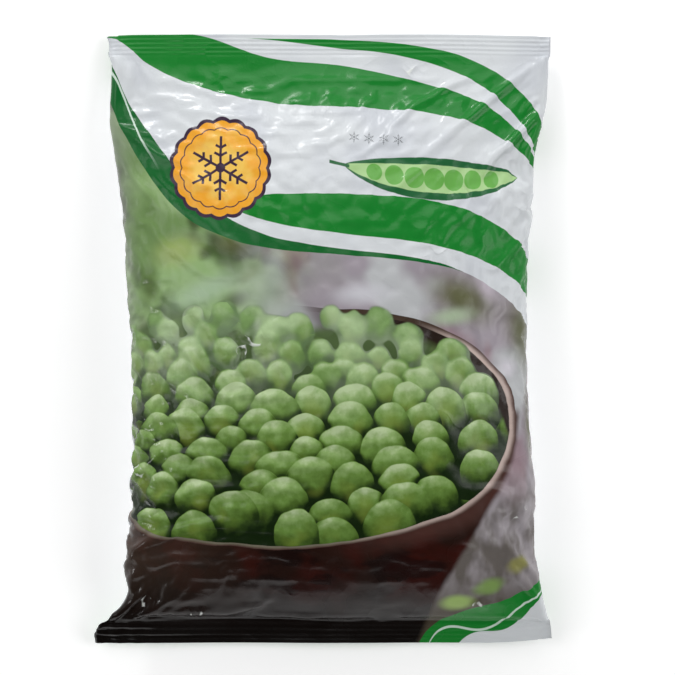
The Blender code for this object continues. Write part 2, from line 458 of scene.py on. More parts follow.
rng = np.random.default_rng(7)
film_points = None
for level, (times, sharpest) in enumerate(STAGES):
    rows, places, laid = lay_film(level)
    open_bag = np.clip((SEAL_START - np.abs(rows)) / BEFORE_SEAL, 0, 1)[:, None]
    peas = pea_relief(rows, places) if level else np.zeros(laid.shape[:2])
    contents = peas - UNDER_FILM * open_bag
    if film_points is None:
        ripple = smoothed(rng.standard_normal(laid.shape[:2]), 1)
        film_points = laid + outward(laid) * (FIRST_RIPPLE * ripple / ripple.std())[..., None]
    else:
        film_points = doubled(film_points)
    links = film_links(rows, places, laid, sharpest)
    film_points = settle(film_points, rows, places, laid, contents, links, times, DRAWN_IN)
    moved = np.linalg.norm(film_points - laid, axis=-1)
    print(f"level {level}: {laid.shape[:2]} points, moved {1000 * moved.mean():.2f} mm on average")

# %% [markdown]
# ## Pressed ends
#
# The sealing jaws leave fine ribs across both ends. Ribs need rows closer together than the
# rest of the bag does, so each gap between the seals' rows gets two more rows, and both
# layers are then pushed up and down together.

# %% Rib the seals
ROWS_IN_GAP = 3
RIB_PITCH = 0.0021
RIB_HEIGHT = 0.00007
RIB_MARGIN = 0.0012  # plain film at each side of the ribs


def ribbed(points, rows):
    """The film with close rows in its seals, pressed into ribs, and the new rows' places."""
    numbers = np.arange(len(rows))
    seal_rows = np.sum(rows < -SEAL_START + HAIR)
    fine = np.arange(0, seal_rows, 1 / ROWS_IN_GAP)
    kept = numbers[seal_rows : len(rows) - seal_rows]
    at = np.concatenate([fine, kept, len(rows) - 1 - fine[::-1]])
    low_row = np.minimum(at.astype(int), len(rows) - 2)
    share = (at - low_row)[:, None, None]
    denser = points[low_row] * (1 - share) + points[low_row + 1] * share
    denser_rows = np.interp(at, numbers, rows)
    from_end = HALF_LENGTH - np.abs(denser_rows)
    inside = np.minimum(from_end, SEAL_LENGTH - from_end) / RIB_MARGIN - 0.5
    rib = np.sin(2 * math.pi * from_end / RIB_PITCH) * np.clip(inside, 0, 1)
    denser[..., 2] += RIB_HEIGHT * rib[:, None]
    return denser, denser_rows


film_points, rows = ribbed(film_points, rows)
print(f"{len(rows)} rows with the ribs")

# %% [markdown]
# One lower corner has been tucked in and crumpled, as happens when a full bag stands on it.
# The film just above the seal is drawn inwards there, and the end of the seal sticks out as
# a little ear with a few waves in it.

# %% Crumple one corner
CORNER_STARTS, CORNER_FULL = -0.070, -0.100  # in x, how far the crumpling reaches
TUCK_ROW, TUCK_REACH, TUCK_DEPTH = -0.1195, 0.0065, 0.0050
EAR_STARTS, EAR_FULL = SEAL_START - 0.002, SEAL_START + 0.001  # from the middle row
EAR_LENGTH = 0.0022
EAR_WAVE, EAR_WAVE_LENGTH = 0.0007, 0.0085
EAR_SLANT = 260  # radians for each metre along the bag, so that the waves run askew

x_now = film_points[..., 0]
cornerness = np.clip((x_now - CORNER_STARTS) / (CORNER_FULL - CORNER_STARTS), 0, 1)
tuck = TUCK_DEPTH * np.exp(-(((rows - TUCK_ROW) / TUCK_REACH) ** 2))[:, None]
in_seal = np.clip((-rows - EAR_STARTS) / (EAR_FULL - EAR_STARTS), 0, 1)[:, None]
film_points[..., 0] += cornerness * (tuck - EAR_LENGTH * in_seal)
waves = np.sin(x_now * 2 * math.pi / EAR_WAVE_LENGTH + rows[:, None] * EAR_SLANT)
film_points[..., 2] += EAR_WAVE * cornerness * in_seal * (1 + waves)
print(f"the ear reaches {1000 * film_points[..., 0].min():.1f} mm")

# %% [markdown]
# ## From points to a mesh
#
# Four neighbouring points make one face. The two open ends are closed by a row of narrow
# faces, which are the film's cut edges.

# %% Faces and objects
def grid_faces(down, across):
    """Faces between all neighbours of a grid that is closed round the bag."""
    number = np.arange(down * across).reshape(down, across)
    right = np.roll(number, -1, 1)
    return np.stack([number[:-1], right[:-1], right[1:], number[1:]], -1).reshape(-1, 4)


def end_faces(across, row_start, top):
    """The narrow faces that close one end, between the front's points and the back's."""
    left_fold = COARSE_FIN * across // (2 * COARSE_ACROSS) + across // 4
    faces = []
    for column in range(left_fold, left_fold + across // 2):
        behind, behind_next = (column_behind(c, across) for c in (column, column + 1))
        corners = [column, behind, behind_next, column + 1]
        corners = list(dict.fromkeys(row_start + c for c in corners))  # a fold's point is both
        faces.append(corners[::-1] if top else corners)
    return faces


def add_mesh(name, points, faces):
    """An object from points and faces, shaded smooth."""
    mesh = bpy.data.meshes.new(name)
    mesh.from_pydata(points.reshape(-1, 3).tolist(), [], faces)
    mesh.shade_smooth()
    mesh.update()
    made = bpy.data.objects.new(name, mesh)
    bpy.context.scene.collection.objects.link(made)
    return made


print(f"grid: {len(grid_faces(*film_points.shape[:2]))} faces")

# %% [markdown]
# The mesh gets a UV map, but not the usual one: its numbers are metres on the flat film, from
# the middle of the printed front. Everything printed is placed with it, and so the print
# bends wherever the film does. A UV map holds a value for each corner of each face, so
# the points' values are looked up corner by corner.

# %% Build the bag
def by_corner(made, place, row, wrap=None):
    """The place and the row on the flat film of each corner of each face."""
    corners = np.zeros(len(made.data.loops), dtype=np.int32)
    made.data.loops.foreach_get("vertex_index", corners)
    own_place, own_row = place.ravel()[corners], row.ravel()[corners]
    if wrap:  # faces across the grid's own edge go on past the last column
        starts = np.zeros(len(made.data.polygons), dtype=np.int32)
        made.data.polygons.foreach_get("loop_start", starts)
        face = np.searchsorted(starts, np.arange(len(corners)), side="right") - 1
        furthest = np.full(len(starts), -np.inf)
        np.maximum.at(furthest, face, own_place)
        own_place = np.where(furthest[face] - own_place > wrap / 2, own_place + wrap, own_place)
    return own_place, own_row


def give_map(made, name, across, along):
    """A UV map from two values for each corner."""
    uv = made.data.uv_layers.new(name=name)
    uv.data.foreach_set("uv", np.stack([across, along], 1).ravel())


down, across = film_points.shape[:2]
faces = grid_faces(down, across).tolist()
first_end_corner = 4 * len(faces)
faces += end_faces(across, 0, top=False)
faces += end_faces(across, (down - 1) * across, top=True)
film_bag = add_mesh("film_bag", film_points, faces)
own_place, own_row = by_corner(film_bag, *np.meshgrid(places, rows), wrap=GIRTH)

# On the cut edges, the front's colour goes on to the back's points.
CUT_EDGE = 0.0005  # of film beyond the last row
end = slice(first_end_corner, None)
on_back = np.abs(own_place[end]) > HALF_PANEL + HAIR
own_place[end] = np.where(on_back, np.sign(own_place[end]) * PANEL_WIDTH - own_place[end], own_place[end])
own_place[end] *= np.where(on_back, -1, 1)
own_row[end] += np.sign(own_row[end]) * CUT_EDGE * on_back
give_map(film_bag, "print", own_place, own_row)

# A second map, for whoever bakes the print into a picture: the flat film fills the square,
# and the cut edges are narrow strips beside it.
STRIP = 0.02  # of the square, above and below the film
baked_across = (own_place - places[0]) / GIRTH
baked_along = STRIP + (1 - 2 * STRIP) * (own_row + HALF_LENGTH) / (2 * HALF_LENGTH)
baked_along[end] += np.sign(own_row[end]) * STRIP / 2
give_map(film_bag, "OFBake", baked_across, baked_along)
print(f"film_bag: {len(film_bag.data.vertices)} points, {len(film_bag.data.polygons)} faces")

# %% [markdown]
# ## The long joint
#
# The tube was closed on the machine by welding the film's two edges together, inside to
# inside, and folding the joint flat against the back. It is a strip of doubled film, so it
# is made from the back's own points, set a little further out.

# %% Fold the long joint down
FIN_CLEAR = 0.00012  # between the back and the strip
FIN_THICK = 0.0004
FIN_CURL = 0.0004  # how far its free edge stands off, here and there
FIN_WAVE, FIN_LONG_WAVE = 0.047, 0.13  # along the bag
TABLE_CLEAR = 0.0001


def add_fin(points, rows, places):
    """The folded joint: a closed strip on the back, from the first row to the last."""
    step = places[1] - places[0]
    reach = round(FIN_WIDTH / 2 / step)
    columns = np.arange(-reach, reach + 1)
    base = points[:, columns]
    out = outward(points)[:, columns]
    curl = np.linspace(0, 1, len(columns)) ** 4
    drift = 2 * np.sin(rows * 2 * math.pi / FIN_LONG_WAVE)
    wave = 0.5 + 0.5 * np.sin(rows * 2 * math.pi / FIN_WAVE + drift)
    lift = FIN_CLEAR + FIN_CURL * curl[None, :] * wave[:, None]
    inner = base + out * lift[..., None]
    outer = inner + out * FIN_THICK
    ring = np.concatenate([outer, inner[:, ::-1]], axis=1)
    ring[..., 2] = np.maximum(ring[..., 2], TABLE_CLEAR)
    down, across = ring.shape[:2]
    faces = grid_faces(down, across).tolist()
    faces += [list(range(across))[::-1], [(down - 1) * across + i for i in range(across)]]
    made = add_mesh("fin_seal", ring, faces)
    place = places[0] + np.concatenate([columns, columns[::-1]]) * step
    give_map(made, "print", *by_corner(made, *np.meshgrid(place, rows)))
    return made


fin_seal = add_fin(film_points, rows, places)
print(f"fin_seal: {len(fin_seal.data.polygons)} faces")

# %% [markdown]
# ## Inks and a way to draw with nodes
#
# The print is drawn with shader nodes, so it is sharp from any distance and no picture file
# is needed. A few short helpers keep that readable: add makes one node and wires it, and
# calc, times, minus and total do sums with such nodes.

# %% Nodes and sums
film = bpy.data.materials.new("pea_bag_film")
film.use_nodes = True
sheet = film.node_tree


def add(kind, *values, out=0, **settings):
    """One output of a new node, its inputs wired or set in order. None leaves one alone."""
    made = sheet.nodes.new(kind)
    for name, setting in settings.items():
        setattr(made, name, setting)
    for socket, value in zip(made.inputs, values):
        if isinstance(value, bpy.types.NodeSocket):
            sheet.links.new(value, socket)
        elif value is not None:
            socket.default_value = value
    return made.outputs[out]


def calc(operation, *values):
    """The result of one of the Math node's operations."""
    return add("ShaderNodeMath", *values, operation=operation)


def times(first, second):
    return calc("MULTIPLY", first, second)


def minus(first, second):
    return calc("SUBTRACT", first, second)


def total(first, *rest):
    for value in rest:
        first = calc("ADD", first, value)
    return first


def parts_of(vector):
    """The x, y and z of a vector."""
    return add("ShaderNodeSeparateXYZ", vector).node.outputs


print(f"material: {film.name}")

# %% [markdown]
# With sums alone one can already draw. A measure, such as the distance to an edge, is turned
# into a share from 0 to 1 by fade, and paint takes such a share as a mask: it lays an ink
# over what is already there, wherever the mask is 1. Noise gives masks without an outline.

# %% Masks, inks and noise
def fade(value, start, end, low=0.0, high=1.0):
    """low where the value is at start or before, high at end or past it, soft between."""
    return add("ShaderNodeMapRange", value, start, end, low, high,
               interpolation_type="SMOOTHSTEP", clamp=False)


def scaled(value, start, end, low=0.0, high=1.0):
    """The value on a new scale, where start becomes low and end becomes high."""
    return add("ShaderNodeMapRange", value, start, end, low, high, clamp=False)


def ink(red, green, blue):
    """A colour by its screen values from 0 to 255, as the light that a shader needs."""
    shares = [value / 255 for value in (red, green, blue)]
    light = [s / 12.92 if s < 0.04045 else ((s + 0.055) / 1.055) ** 2.4 for s in shares]
    return (*light, 1.0)


def paint(under, over, mask):
    """The colour over, where the mask is 1, and under, where it is 0."""
    return add("ShaderNodeMix", mask, None, None, None, None, None, under, over,
               out=2, data_type="RGBA")


def noise(place, size, detail=2.0, spot=0.0, stretch=(1, 1, 1)):
    """Soft random values from 0 to 1 whose blots are about this many metres wide."""
    moved = add("ShaderNodeMapping", place, (spot, 0, 0), None, stretch)
    return add("ShaderNodeTexNoise", moved, None, 1 / size, detail, 0.5, noise_dimensions="2D")


print("pure green as light:", [round(value, 3) for value in ink(0, 255, 0)])

# %% [markdown]
# A printed edge is often a long soft curve. It is easiest to give as height over the film's
# width, so here a Float Curve node holds a few points, in millimetres, and joins them
# smoothly. A stripe is what lies between two such curves.

# %% Curves and stripes
CURVE_REACH = 120.0  # a curve runs this far to each side of the middle, in mm
CURVE_DROP, CURVE_RISE = -150.0, 150.0
SHARP = 0.00025  # width of a printed edge, in metres

where = add("ShaderNodeUVMap", uv_map="print")
x, y, _ = parts_of(where)


def curve(points, value, reach=(-CURVE_REACH, CURVE_REACH), span=(CURVE_DROP, CURVE_RISE)):
    """The height of a smooth curve through the points, in metres, at a value in metres."""
    share = scaled(value, reach[0] / 1000, reach[1] / 1000)
    made = sheet.nodes.new("ShaderNodeFloatCurve")
    line = made.mapping.curves[0]
    ready = [((a - reach[0]) / (reach[1] - reach[0]), (b - span[0]) / (span[1] - span[0]))
             for a, b in points]
    line.points[0].location, line.points[-1].location = ready[0], ready[-1]
    for spot in ready[1:-1]:
        line.points.new(*spot)
    made.mapping.update()
    sheet.links.new(share, made.inputs["Value"])
    return scaled(made.outputs[0], 0, 1, span[0] / 1000, span[1] / 1000)


def between(low_edge, high_edge, value=y, soft=SHARP):
    """A mask that is 1 where the value lies between two edges."""
    inside = calc("MINIMUM", minus(value, low_edge), minus(high_edge, value))
    return fade(inside, 0, soft)


def below(edge, value=y, soft=SHARP):
    """A mask that is 1 where the value is less than an edge."""
    return fade(minus(edge, value), 0, soft)


def seen_from(middle, radii, turn=0.0):
    """Places counted from a middle in these half sizes, all in mm, and turned by degrees."""
    return add("ShaderNodeMapping", where, (middle[0] / 1000, middle[1] / 1000, 0),
               (0, 0, math.radians(turn)), (radii[0] / 1000, radii[1] / 1000, 1),
               vector_type="TEXTURE")


def length_of(vector):
    return add("ShaderNodeVectorMath", vector, operation="LENGTH", out=1)


def disc(middle, radii, turn=0.0, soft=0.03):
    """A mask for an ellipse, by its middle and half sizes in mm and its turn in degrees."""
    return fade(length_of(seen_from(middle, radii, turn)), 1, 1 - soft)


print(f"a curve spans {2 * CURVE_REACH:.0f} mm of film")

# %% [markdown]
# ## The picture's background
#
# Behind the food the picture is out of focus: leaves on the left, a pale lilac cloth on the
# right. Blurred things have no outline, so noise at two sizes and a few soft blots, in a few
# inks, are all that they need. The folds' noise is stretched upwards, because cloth hangs
# down.

# %% Leaves and cloth, out of focus
LILAC, ROSE, PALE_CLOTH = ink(156, 148, 156), ink(146, 122, 130), ink(184, 186, 188)
LEAF, SHADED_LEAF, DEEP_LEAF = ink(142, 172, 116), ink(108, 138, 82), ink(64, 84, 44)
GREY_FOLD = ink(146, 148, 142)  # where the picture turns round the bag's left side
CLOTH_BLOTS = [  # each one's ink, middle, half sizes and turn
    (ink(84, 88, 40), (62, 17), (26, 15), -24), (ink(84, 86, 44), (94, 2), (16, 26), 20),
    (ink(84, 84, 52), (98, -40), (9, 28), 0), (ink(164, 182, 152), (56, 9), (17, 6), 8),
    (ink(206, 206, 212), (16, 19), (20, 7), 4), (ink(204, 200, 208), (83, -14), (8, 7), 0),
    (ink(190, 180, 190), (74, 24), (7, 12), 16),
]
LEAF_BLOTS = [
    (ink(150, 168, 98), (-70, 38), (18, 11), 10), (ink(84, 92, 46), (-44, 41), (13, 7), -10),
    (ink(84, 106, 56), (-84, 22), (8, 13), 0), (ink(158, 182, 150), (-56, 20), (30, 9), 22),
    (ink(74, 92, 54), (-42, 16), (11, 6), 12), (ink(106, 108, 92), (-88, -4), (7, 20), 0),
]


def blotted(ground, blots, soft, most):
    """The ground with soft blots laid over it."""
    for colour, middle, radii, turn in blots:
        ground = paint(ground, colour, times(disc(middle, radii, turn, soft), most))
    return ground


folds = noise(where, 0.026, spot=3.0, stretch=(1, 0.45, 1))
cloth = paint(ROSE, LILAC, fade(folds, 0.36, 0.52))
cloth = paint(cloth, PALE_CLOTH, fade(noise(where, 0.04, spot=8.0), 0.50, 0.66))
cloth = blotted(cloth, CLOTH_BLOTS, soft=0.95, most=0.9)
leaves = paint(SHADED_LEAF, LEAF, fade(noise(where, 0.030, spot=5.0), 0.38, 0.62))
leaves = paint(leaves, DEEP_LEAF, fade(noise(where, 0.024, spot=12.0), 0.54, 0.72))
leaves = blotted(leaves, LEAF_BLOTS, soft=0.95, most=0.9)
leaves = paint(leaves, GREY_FOLD, times(fade(x, -0.086, -0.104), 0.6))
to_cloth = total(x, times(noise(where, 0.05, spot=1.0), 0.05))
background = paint(leaves, cloth, fade(to_cloth, -0.026, 0.024))
print(f"background: {len(sheet.nodes)} nodes so far")

# %% [markdown]
# ## The bowl
#
# A round bowl seen from the front and above has an oval rim, and this one runs off the left
# side of the panel. Its outline is given as a distance from one middle point for each
# direction, by one more curve. Dividing a point's own distance by that gives the share: less
# than 1 is inside the bowl, and the rim is the last few hundredths before 1.

# %% Bowl and rim
BOWL_MIDDLE = (-5.0, -35.0)  # mm
BOWL_RIM = [(-180, 120), (-154, 108), (-133, 81), (-113, 66), (-80, 58.5), (-50, 66),
            (-31, 79), (-15, 88), (0, 92), (18, 82), (38, 66), (62, 53), (90, 48),
            (135, 70), (160, 100), (180, 120)]  # degrees from the right, and mm
RIM_WIDTH, FRONT_RIM_WIDTH = 0.050, 0.034  # shares of the way from the middle
HALF_TURN = 0.180  # directions are counted in thousands of degrees, as the curve wants them

dx = minus(x, BOWL_MIDDLE[0] / 1000)
dy = minus(y, BOWL_MIDDLE[1] / 1000)
direction = times(calc("ARCTAN2", dy, dx), HALF_TURN / math.pi)
rim_at = curve(BOWL_RIM, direction, reach=(-180, 180), span=(0, 150))
distance = calc("SQRT", total(times(dx, dx), times(dy, dy)))
bowl_share = calc("DIVIDE", distance, rim_at)
in_bowl = below(1.0, bowl_share, soft=0.006)
rightness = fade(direction, -0.095, -0.030)
rim_width = fade(rightness, 0, 1, FRONT_RIM_WIDTH, RIM_WIDTH)
on_rim = between(minus(1.0, rim_width), 1.2, bowl_share, soft=0.006)
# The rim's far left part is hidden behind the heap.
on_rim = times(on_rim, fade(direction, 0.100, 0.070))
print(f"bowl: rim through {len(BOWL_RIM)} points")

# %% [markdown]
# Below the rim is the bowl's outer wall, in a dark glaze that is redder in the middle and
# goes almost black at the foot. To its right the cloth comes forward, with a few loose peas
# lying on it, far out of focus.

# %% Outer wall, cloth in front and loose peas
WALL, RED_WALL, FOOT = ink(38, 21, 16), ink(54, 17, 12), ink(15, 11, 9)
WALL_STREAK, WALL_LEFT, UNDER_RIM = ink(22, 12, 11), ink(74, 60, 50), ink(86, 58, 52)
WALL_RIGHT = [(-150, 40), (-131, 47), (-108, 56), (-77, 73), (-50, 87), (-20, 92), (150, 92)]
NEAR_CLOTH, NEAR_FOLD, CLOTH_FOOT = ink(160, 154, 158), ink(104, 98, 94), ink(70, 62, 50)
LOOSE_PEAS = [
    (ink(150, 178, 98), (60, -119), (11, 5), 8),
    (ink(122, 150, 84), (74, -111), (10, 5), 14),
    (ink(140, 138, 84), (88, -101), (8, 5), 20),
]

wall = paint(WALL, RED_WALL, fade(noise(where, 0.030, spot=21.0), 0.42, 0.62))
streaks = noise(where, 0.012, 4.0, spot=25.0, stretch=(0.45, 1, 1))
wall = paint(wall, WALL_STREAK, times(fade(streaks, 0.50, 0.62), 0.7))
wall = paint(wall, WALL_LEFT, times(fade(x, -0.02, -0.10), 0.55))
under_rim = times(fade(bowl_share, 1.16, 1.02), fade(x, -0.01, 0.05))
wall = paint(wall, UNDER_RIM, times(under_rim, 0.7))
wall = paint(wall, FOOT, fade(y, -0.098, -0.134))
near_folds = noise(where, 0.016, 3.0, spot=31.0, stretch=(1, 0.6, 1))
near_cloth = paint(NEAR_FOLD, NEAR_CLOTH, fade(near_folds, 0.36, 0.60))
near_cloth = paint(near_cloth, CLOTH_FOOT, fade(y, -0.098, -0.126))
near_cloth = blotted(near_cloth, LOOSE_PEAS, soft=0.7, most=1.0)
# This curve says how far right the wall reaches at each height.
wall_right = curve(WALL_RIGHT, y, reach=(-150, 150))
wall_mask = times(below(wall_right, x, soft=0.004), below(-0.030, y, soft=0.006))
front_of_bowl = paint(background, near_cloth, below(-0.050, y, soft=0.03))
front_of_bowl = paint(front_of_bowl, wall, wall_mask)
print(f"wall and near cloth: {len(sheet.nodes)} nodes so far")

# %% [markdown]
# ## A bowl full of peas
#
# The picture needs peas that overlap as a real heap's do: near ones are larger and lie in
# front of far ones. Their places come from a small loop here. It fills the bowl row by row
# from the back, shakes each place, and lets every pea push its neighbours away a few times.

# %% Places of the pictured peas
FAR_PEA, NEAR_PEA = 8.8, 12.0  # radius in mm at the back and at the front of the heap
HEAP_TOP, HEAP_FOOT = 16.0, -90.0
HEAP_LEFT, HEAP_RIGHT = -114, 96
PEA_STEP, ROW_STEP = 1.78, 0.84  # in radii, along a row and from row to row
PLACE_SHAKE, ORDER_SHAKE = 4.0, 1.5  # mm
PUSHES, CLOSEST = 3, 0.72  # how near two peas may come, as a share of both radii
ROW_STRETCH = 1.5  # gaps up and down count for more than gaps sideways
LONGEST_PUSH, PUSH_SHARE = 4, 0.25
NOT_ITSELF = 99
SMALLEST, LARGEST = 0.86, 1.20
FRONT_FROM, FRONT_CLEAR = -40, 0.1  # below this height, how far from the rim, in radii
RIGHT_FROM, RIGHT_CLEAR = 30, 0.75  # the same to the right of this place
UNDER_EDGE = 0.8  # in radii, how far below the heap's edge a pea's middle is
HEAP_OUTLINE = [(-120, 4), (-103, 8), (-80, 20), (-50, 19), (-20, 15), (0, 16), (25, 15),
                (45, 9), (60, -1), (72, -12), (82, -32), (90, -60)]  # mm, its upper edge


def pictured_radius(height):
    """A pea's radius in the picture, by how high up the panel it is."""
    nearness = (HEAP_TOP - height) / (HEAP_TOP - HEAP_FOOT)
    return FAR_PEA + (NEAR_PEA - FAR_PEA) * np.clip(nearness, 0, 1)


def in_heap(spots):
    """Which spots are under the heap's upper edge and clear of the bowl's front wall."""
    across, height = spots.T
    radius = pictured_radius(height)
    edge_x, edge_y = np.array(HEAP_OUTLINE, float).T
    angles, reaches = np.array(BOWL_RIM, float).T
    around = np.degrees(np.arctan2(height - BOWL_MIDDLE[1], across - BOWL_MIDDLE[0]))
    to_rim = np.interp(around, angles, reaches) - np.hypot(*(spots - BOWL_MIDDLE).T)
    beyond_front = (height < FRONT_FROM) & (to_rim < FRONT_CLEAR * radius)
    beyond_right = (across > RIGHT_FROM) & (to_rim < RIGHT_CLEAR * radius)
    under_edge = height + UNDER_EDGE * radius < np.interp(across, edge_x, edge_y)
    return under_edge & ~beyond_front & ~beyond_right


def heap_places():
    """(x, y, radius) of each pictured pea in mm, the furthest first."""
    rng = np.random.default_rng(19)
    spots = []
    height = HEAP_TOP
    while height > HEAP_FOOT:
        radius = pictured_radius(height)
        first = HEAP_LEFT + rng.uniform(0, 2 * radius)
        for across in np.arange(first, HEAP_RIGHT, PEA_STEP * radius):
            spots.append((across, height))
        height -= ROW_STEP * radius
    spots = np.array(spots) + rng.normal(0, PLACE_SHAKE, (len(spots), 2))
    for _ in range(PUSHES):
        gap = spots[:, None] - spots[None]
        away = np.hypot(gap[..., 0], ROW_STRETCH * gap[..., 1]) + NOT_ITSELF * np.eye(len(spots))
        wanted = CLOSEST * (pictured_radius(spots[:, 1])[:, None] + pictured_radius(spots[:, 1]))
        push = np.clip(wanted - away, 0, LONGEST_PUSH) / away * PUSH_SHARE
        spots = spots + (gap * push[..., None]).sum(1)
    spots = spots[in_heap(spots)]
    radii = pictured_radius(spots[:, 1]) * rng.uniform(SMALLEST, LARGEST, len(spots))
    order = np.argsort(-spots[:, 1] + rng.normal(0, ORDER_SHAKE, len(spots)))
    return np.column_stack([spots, radii])[order]


pictured = heap_places()
print(f"{len(pictured)} pictured peas")

# %% [markdown]
# Each pea is then stamped over the ones behind it. What is stamped isn't a colour but three
# numbers: how near the pea's edge this spot is, how far it is from the pea's lit side, and
# how light the whole pea is. Just outside its own edge, a pea makes the numbers behind it a
# little larger, which puts those peas in its shade. One node group does a stamp.

# %% A stamp for one pea
LIT_SIDE = (-0.16, 0.88, 0.0)  # the middle of a pea's lit side, in radii
SHADE_REACH, SHADE = 1.35, 1.22  # how far a pea's shade goes, in radii, and its strength


def empty_stamp():
    """A node group with what a pea's stamp is given and what it gives back."""
    group = bpy.data.node_groups.new("pea_stamp", "ShaderNodeTree")
    for name, kind in (("Behind", "NodeSocketVector"), ("Where", "NodeSocketVector"),
                       ("Scale", "NodeSocketVector"), ("Shift", "NodeSocketVector"),
                       ("Tone", "NodeSocketFloat"), ("Blur", "NodeSocketFloat")):
        group.interface.new_socket(name, in_out="INPUT", socket_type=kind)
    group.interface.new_socket("Stamped", in_out="OUTPUT", socket_type="NodeSocketVector")
    return group


stamp = empty_stamp()
sheet = stamp  # the helpers now draw inside the group
given = stamp.nodes.new("NodeGroupInput").outputs
in_radii = add("ShaderNodeVectorMath", given["Where"], given["Scale"], given["Shift"],
               operation="MULTIPLY_ADD")
edge = length_of(in_radii)
unlit = add("ShaderNodeVectorMath", in_radii, LIT_SIDE, operation="DISTANCE", out=1)
own = add("ShaderNodeCombineXYZ", edge, unlit, given["Tone"])
shade = fade(edge, 1.0, SHADE_REACH, SHADE, 1.0)
shaded = add("ShaderNodeVectorMath", given["Behind"], None, None, shade, operation="SCALE")
inside = fade(edge, 1.0, minus(1.0, given["Blur"]))
stamped = add("ShaderNodeMix", inside, None, None, None, shaded, own, out=1, data_type="VECTOR")
stamp.links.new(stamped, stamp.nodes.new("NodeGroupOutput").inputs[0])
sheet = film.node_tree
print(f"pea_stamp: {len(stamp.nodes)} nodes")

# %% [markdown]
# A loop chains one copy of the stamp for each pea, from the furthest to the nearest. Before
# that, noise shakes the place itself, so that no pea is quite round. Deeper in the heap only
# dark bits of pea show between the near ones. A Voronoi texture gives those: each of its
# cells is one more pea. Their tone is lower than any near pea's, which tells the two apart.

# %% Stamp all the peas
DEEP_PEA, DEEP_PITCH = 0.0088, 0.0150  # radius of the peas below, and from one to the next
DEEP_TONE, DEEP_SHADE = -1.0, 0.30
TONE_SPREAD = 0.5  # near peas' tones go this far up and down from 0
DENT_SIZE, DENTED = 0.010, 0.0018
LEAST_SQUEEZE, MOST_SQUEEZE = 0.98, 1.12
FAR_BLUR, NEAR_BLUR, BLURRED_PART = 0.76, 0.06, 1 / 2.2  # the last is a share of the heap

shaker = add("ShaderNodeTexNoise", where, None, 1 / DENT_SIZE, 1.0, noise_dimensions="2D", out=1)
shaken = add("ShaderNodeVectorMath", shaker, (0.5, 0.5, 0.5), operation="SUBTRACT")
shaken = add("ShaderNodeVectorMath", shaken, (DENTED, DENTED, 0), where, operation="MULTIPLY_ADD")

cells = sheet.nodes.new("ShaderNodeTexVoronoi")
cells.voronoi_dimensions = "2D"
cells.inputs["Scale"].default_value = 1 / DEEP_PITCH
sheet.links.new(where, cells.inputs["Vector"])
from_middle = add("ShaderNodeVectorMath", where, cells.outputs["Position"], operation="SUBTRACT")
in_radii = add("ShaderNodeVectorMath", from_middle, None, None, 1 / DEEP_PEA, operation="SCALE")
deep_unlit = add("ShaderNodeVectorMath", in_radii, LIT_SIDE, operation="DISTANCE", out=1)
heap = add("ShaderNodeCombineXYZ", length_of(in_radii), total(deep_unlit, DEEP_SHADE), DEEP_TONE)

rng = np.random.default_rng(23)
for across_mm, height_mm, radius_mm in pictured:
    use = sheet.nodes.new("ShaderNodeGroup")
    use.node_tree = stamp
    squeeze = rng.uniform(LEAST_SQUEEZE, MOST_SQUEEZE)
    nearness = (HEAP_TOP - height_mm) / (HEAP_TOP - HEAP_FOOT)
    in_focus = np.clip(nearness / BLURRED_PART, 0, 1)
    sheet.links.new(heap, use.inputs["Behind"])
    sheet.links.new(shaken, use.inputs["Where"])
    wide, tall = 1000 * squeeze / radius_mm, 1000 / radius_mm / squeeze
    use.inputs["Scale"].default_value = (wide, tall, 0)
    use.inputs["Shift"].default_value = (-across_mm / 1000 * wide, -height_mm / 1000 * tall, 0)
    use.inputs["Tone"].default_value = rng.uniform(-TONE_SPREAD, TONE_SPREAD)
    use.inputs["Blur"].default_value = FAR_BLUR + (NEAR_BLUR - FAR_BLUR) * in_focus
    heap = use.outputs[0]
print(f"stamped: {len(sheet.nodes)} nodes so far")

# %% [markdown]
# Three numbers become one at last: how light the skin is here. The shade pulls it down to the
# deep green between peas, frost makes the upper edge pale, and noise breaks up what would be
# too smooth for a skin. A Color Ramp then turns the number into a green, and some peas are
# yellower in the middle.

# %% Colour of the peas
PEA_STOPS = [(0.00, ink(22, 38, 14)), (0.20, ink(46, 66, 26)), (0.42, ink(78, 106, 42)),
             (0.64, ink(106, 140, 66)), (0.84, ink(144, 174, 108)), (1.00, ink(186, 206, 158))]
RIPE_PEA = ink(126, 144, 58)
LIGHTEST = 0.99

edge, unlit, tone = parts_of(heap)
frost = times(fade(edge, 0.45, 0.95), fade(unlit, 1.45, 0.8))
uneven = minus(noise(where, 0.0045, 4.0, spot=40.0), 0.5)
lit = LIGHTEST
for measure, strength in (
    (unlit, -0.37),
    (fade(unlit, 0.8, 1.75), -0.26),  # the shaded side
    (fade(edge, 0.93, 1.4), -0.42),  # the deep gaps
    (frost, 0.15),
    (fade(y, 0.010, -0.090), -0.19),  # from the back of the heap to its front
    (fade(x, -0.076, -0.100), -0.16),  # towards the bag's left side
    (tone, 0.16),
    (uneven, 0.42),
):
    lit = total(lit, times(measure, strength))
pea_ramp = sheet.nodes.new("ShaderNodeValToRGB")
for stop, (at, colour) in enumerate(PEA_STOPS):
    element = pea_ramp.color_ramp.elements[stop] if stop < 2 else pea_ramp.color_ramp.elements.new(at)
    element.position, element.color = at, colour
sheet.links.new(lit, pea_ramp.inputs[0])
ripe = times(fade(edge, 0.85, 0.25), fade(noise(where, 0.022, spot=60.0), 0.46, 0.60))
pea_colour = paint(pea_ramp.outputs[0], RIPE_PEA, times(ripe, 0.45))
print(f"peas: {len(PEA_STOPS)} greens on the ramp")

